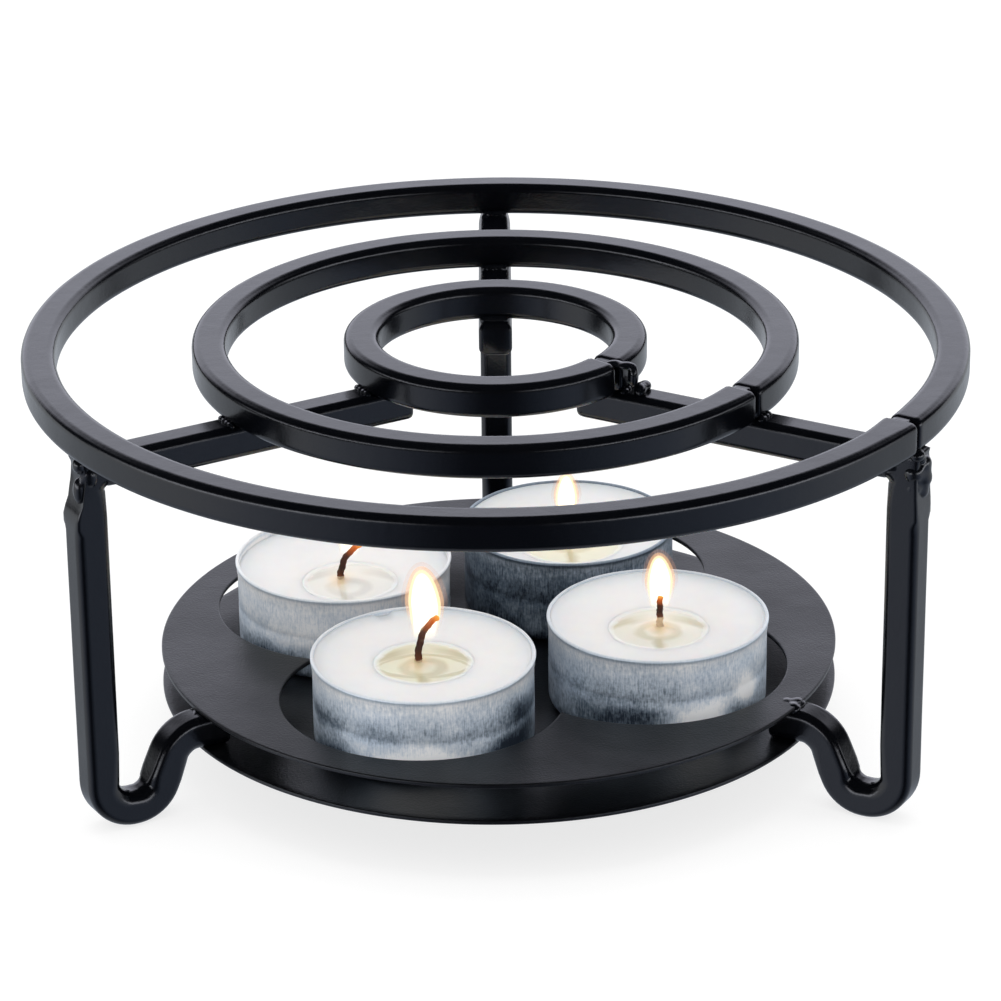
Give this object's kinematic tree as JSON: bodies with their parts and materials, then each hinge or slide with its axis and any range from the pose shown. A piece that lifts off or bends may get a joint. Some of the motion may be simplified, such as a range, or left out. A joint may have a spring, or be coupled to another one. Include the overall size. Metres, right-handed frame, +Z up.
{
  "type": "teapot warmer",
  "caption": "Black steel teapot warmer: concentric rings of square bar on bent legs carry the pot above a round tray whose lobed cut-out holds tealights.",
  "frame": {"origin": "on the floor under the common centre of the three rings", "axes": "+Z up from the feet to the level top of the rings, +Y towards the back leg, +X to the right seen from the front"},
  "size_m": [0.1652, 0.1652, 0.076],
  "materials": {
    "black_steel": "satin powder coat",
    "cup_aluminium": "drawn, softly brushed",
    "wax": "wax, soft sheen",
    "wick_cotton": "charred cotton",
    "wick_tin": "tinned"
  },
  "bodies": {
    "root": {"outer_ring": "black_steel", "middle_ring": "black_steel", "inner_ring": "black_steel", "back_leg": "black_steel", "front_left_leg": "black_steel", "front_right_leg": "black_steel", "tray_bottom_disc": "black_steel", "tray_top_disc": "black_steel", "rear_tealight_cup": "cup_aluminium", "rear_tealight_wax": "wax", "rear_tealight_wick_holder": "wick_tin", "rear_tealight_wick": "wick_cotton", "left_tealight_cup": "cup_aluminium", "left_tealight_wax": "wax", "left_tealight_wick_holder": "wick_tin", "left_tealight_wick": "wick_cotton", "front_tealight_cup": "cup_aluminium", "front_tealight_wax": "wax", "front_tealight_wick_holder": "wick_tin", "front_tealight_wick": "wick_cotton", "right_tealight_cup": "cup_aluminium", "right_tealight_wax": "wax", "right_tealight_wick_holder": "wick_tin", "right_tealight_wick": "wick_cotton"}
  },
  "joints": []
}
